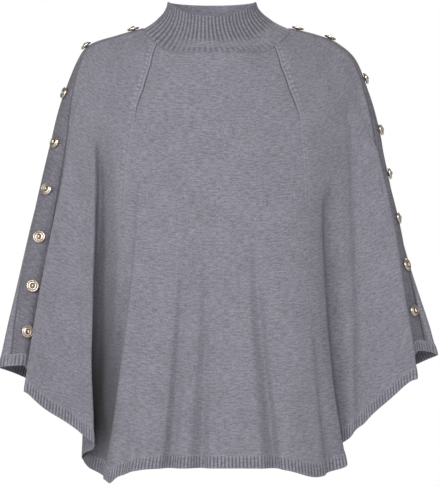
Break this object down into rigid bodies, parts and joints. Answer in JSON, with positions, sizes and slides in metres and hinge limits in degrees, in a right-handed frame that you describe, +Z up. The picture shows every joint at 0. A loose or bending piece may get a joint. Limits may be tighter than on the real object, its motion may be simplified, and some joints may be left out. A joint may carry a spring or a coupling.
{
  "type": "poncho sweater",
  "caption": "Knitted poncho sweater in its worn, hollow shape: ribbed stand-up collar, ribbed hem bands, and a buttoned placket from the neck down each arm",
  "frame": {"origin": "middle of the neck at the height of the shoulder line, where the wearer holds the garment", "axes": "+Z up the body, front of the garment towards -Y, +X to the right as seen from the front"},
  "size_m": [0.6498, 0.2787, 0.7036],
  "materials": {
    "knit": "soft heather jersey knit",
    "rib_knit": "heather rib knit",
    "placket_knit": "firm heather knit band",
    "button_metal": "polished pale gold"
  },
  "bodies": {
    "root": {"front": "knit", "back": "knit", "collar": "rib_knit", "hem_front": "rib_knit", "hem_back": "rib_knit", "placket_left": "placket_knit", "placket_right": "placket_knit", "button_left_1": "button_metal", "button_left_2": "button_metal", "button_left_3": "button_metal", "button_left_4": "button_metal", "button_left_5": "button_metal", "button_left_6": "button_metal", "button_left_7": "button_metal", "button_left_8": "button_metal", "button_right_1": "button_metal", "button_right_2": "button_metal", "button_right_3": "button_metal", "button_right_4": "button_metal", "button_right_5": "button_metal", "button_right_6": "button_metal", "button_right_7": "button_metal", "button_right_8": "button_metal"}
  },
  "joints": []
}
